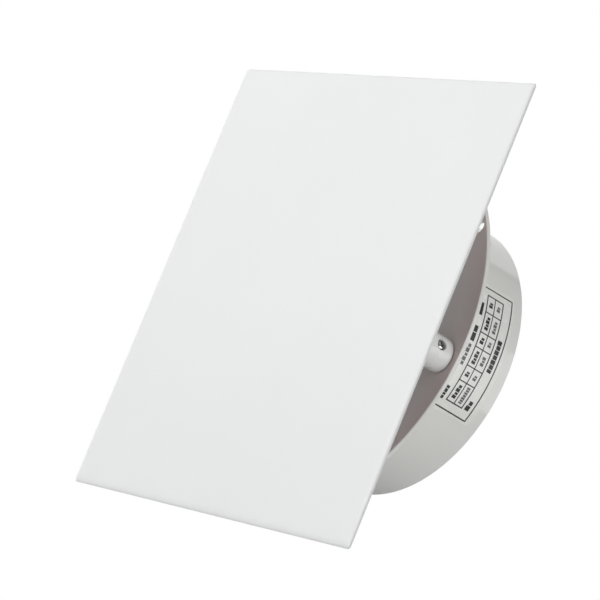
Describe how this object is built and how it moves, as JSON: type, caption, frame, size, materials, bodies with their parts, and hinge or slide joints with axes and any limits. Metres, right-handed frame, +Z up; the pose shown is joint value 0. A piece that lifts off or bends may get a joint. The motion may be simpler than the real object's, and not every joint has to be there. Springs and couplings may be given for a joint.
{
  "type": "wall exhaust fan",
  "caption": "Wall exhaust fan: a flat square front panel on two posts stands off a round wall flange, with a short duct spigot, motor and axial impeller behind it.",
  "frame": {"origin": "on the fan's axis in the wall plane, which is the back face of the round flange", "axes": "+Y runs with the air, out of the room into the duct, so -Y faces the room; +Z is up; +X is to the right as seen from the room"},
  "size_m": [0.1896, 0.0687, 0.1896],
  "materials": {
    "panel_white": "smooth satin-gloss white moulding",
    "housing_white": "semi-matt white moulding",
    "impeller_white": "smooth white moulding",
    "motor_case": "light grey moulding",
    "label_vinyl": "thin white vinyl with printed rules",
    "chrome_screw": "polished",
    "zinc_screw": "bright zinc plate",
    "steel": "ground steel",
    "laminations": "stacked steel sheet",
    "copper_winding": "enamelled copper wire",
    "terminal_ivory": "ivory nylon",
    "black_rubber": "matt",
    "lead_jacket": "soft white PVC",
    "tie_nylon": "black nylon"
  },
  "bodies": {
    "housing": {"duct_spigot": "housing_white", "wall_flange": "housing_white", "panel_stud_right": "housing_white", "panel_stud_left": "housing_white", "bracket_boss_upper_right": "housing_white", "bracket_boss_upper_left": "housing_white", "bracket_boss_lower_left": "housing_white", "bracket_boss_lower_right": "housing_white", "clamp_boss_inner": "housing_white", "clamp_boss_outer": "housing_white", "cover_boss": "housing_white", "rating_label": "label_vinyl", "motor_bracket": "housing_white", "bracket_screw_upper_right": "zinc_screw", "bracket_screw_upper_left": "zinc_screw", "bracket_screw_lower_left": "zinc_screw", "bracket_screw_lower_right": "zinc_screw", "motor_screw_upper_right": "zinc_screw", "motor_screw_upper_left": "zinc_screw", "motor_screw_lower_left": "zinc_screw", "motor_screw_lower_right": "zinc_screw", "motor_shell_front": "motor_case", "motor_shell_rear": "motor_case", "stator_core": "laminations", "stator_coil_right": "copper_winding", "stator_coil_top": "copper_winding", "stator_coil_left": "copper_winding", "stator_coil_bottom": "copper_winding", "thermal_fuse": "zinc_screw", "front_bearing": "steel", "rear_bearing": "steel", "terminal_block": "terminal_ivory", "terminal_screw_live": "zinc_screw", "terminal_screw_neutral": "zinc_screw", "terminal_cover": "housing_white", "terminal_cover_screw": "zinc_screw", "cable_grommet": "black_rubber", "cable_clamp": "terminal_ivory", "cable_clamp_screw_inner": "zinc_screw", "cable_clamp_screw_outer": "zinc_screw", "motor_lead": "lead_jacket", "cable_tie": "tie_nylon"},
    "rotor": {"motor_shaft": "steel", "rotor_core": "laminations", "impeller": "impeller_white", "impeller_washer": "zinc_screw", "impeller_nut": "zinc_screw"},
    "panel": {"front_panel": "panel_white", "panel_post_right": "housing_white", "panel_post_left": "housing_white"},
    "right_clamp_screw": {"clamp_screw_right": "chrome_screw"},
    "left_clamp_screw": {"clamp_screw_left": "chrome_screw"}
  },
  "joints": [
    {"name": "impeller_spin", "type": "hinge", "parent": "housing", "child": "rotor", "pos_m": [0, 0.014, 0], "axis": [0, 1, 0], "continuous": true},
    {"name": "panel_pull", "type": "slide", "parent": "housing", "child": "panel", "axis": [0, -1, 0], "range_m": [0, 0.014]},
    {"name": "right_screw_back_out", "type": "slide", "parent": "panel", "child": "right_clamp_screw", "axis": [0.9239, 0, 0.3827], "range_m": [0, 0.0025]},
    {"name": "left_screw_back_out", "type": "slide", "parent": "panel", "child": "left_clamp_screw", "axis": [-0.9239, 0, -0.3827], "range_m": [0, 0.0025]}
  ]
}
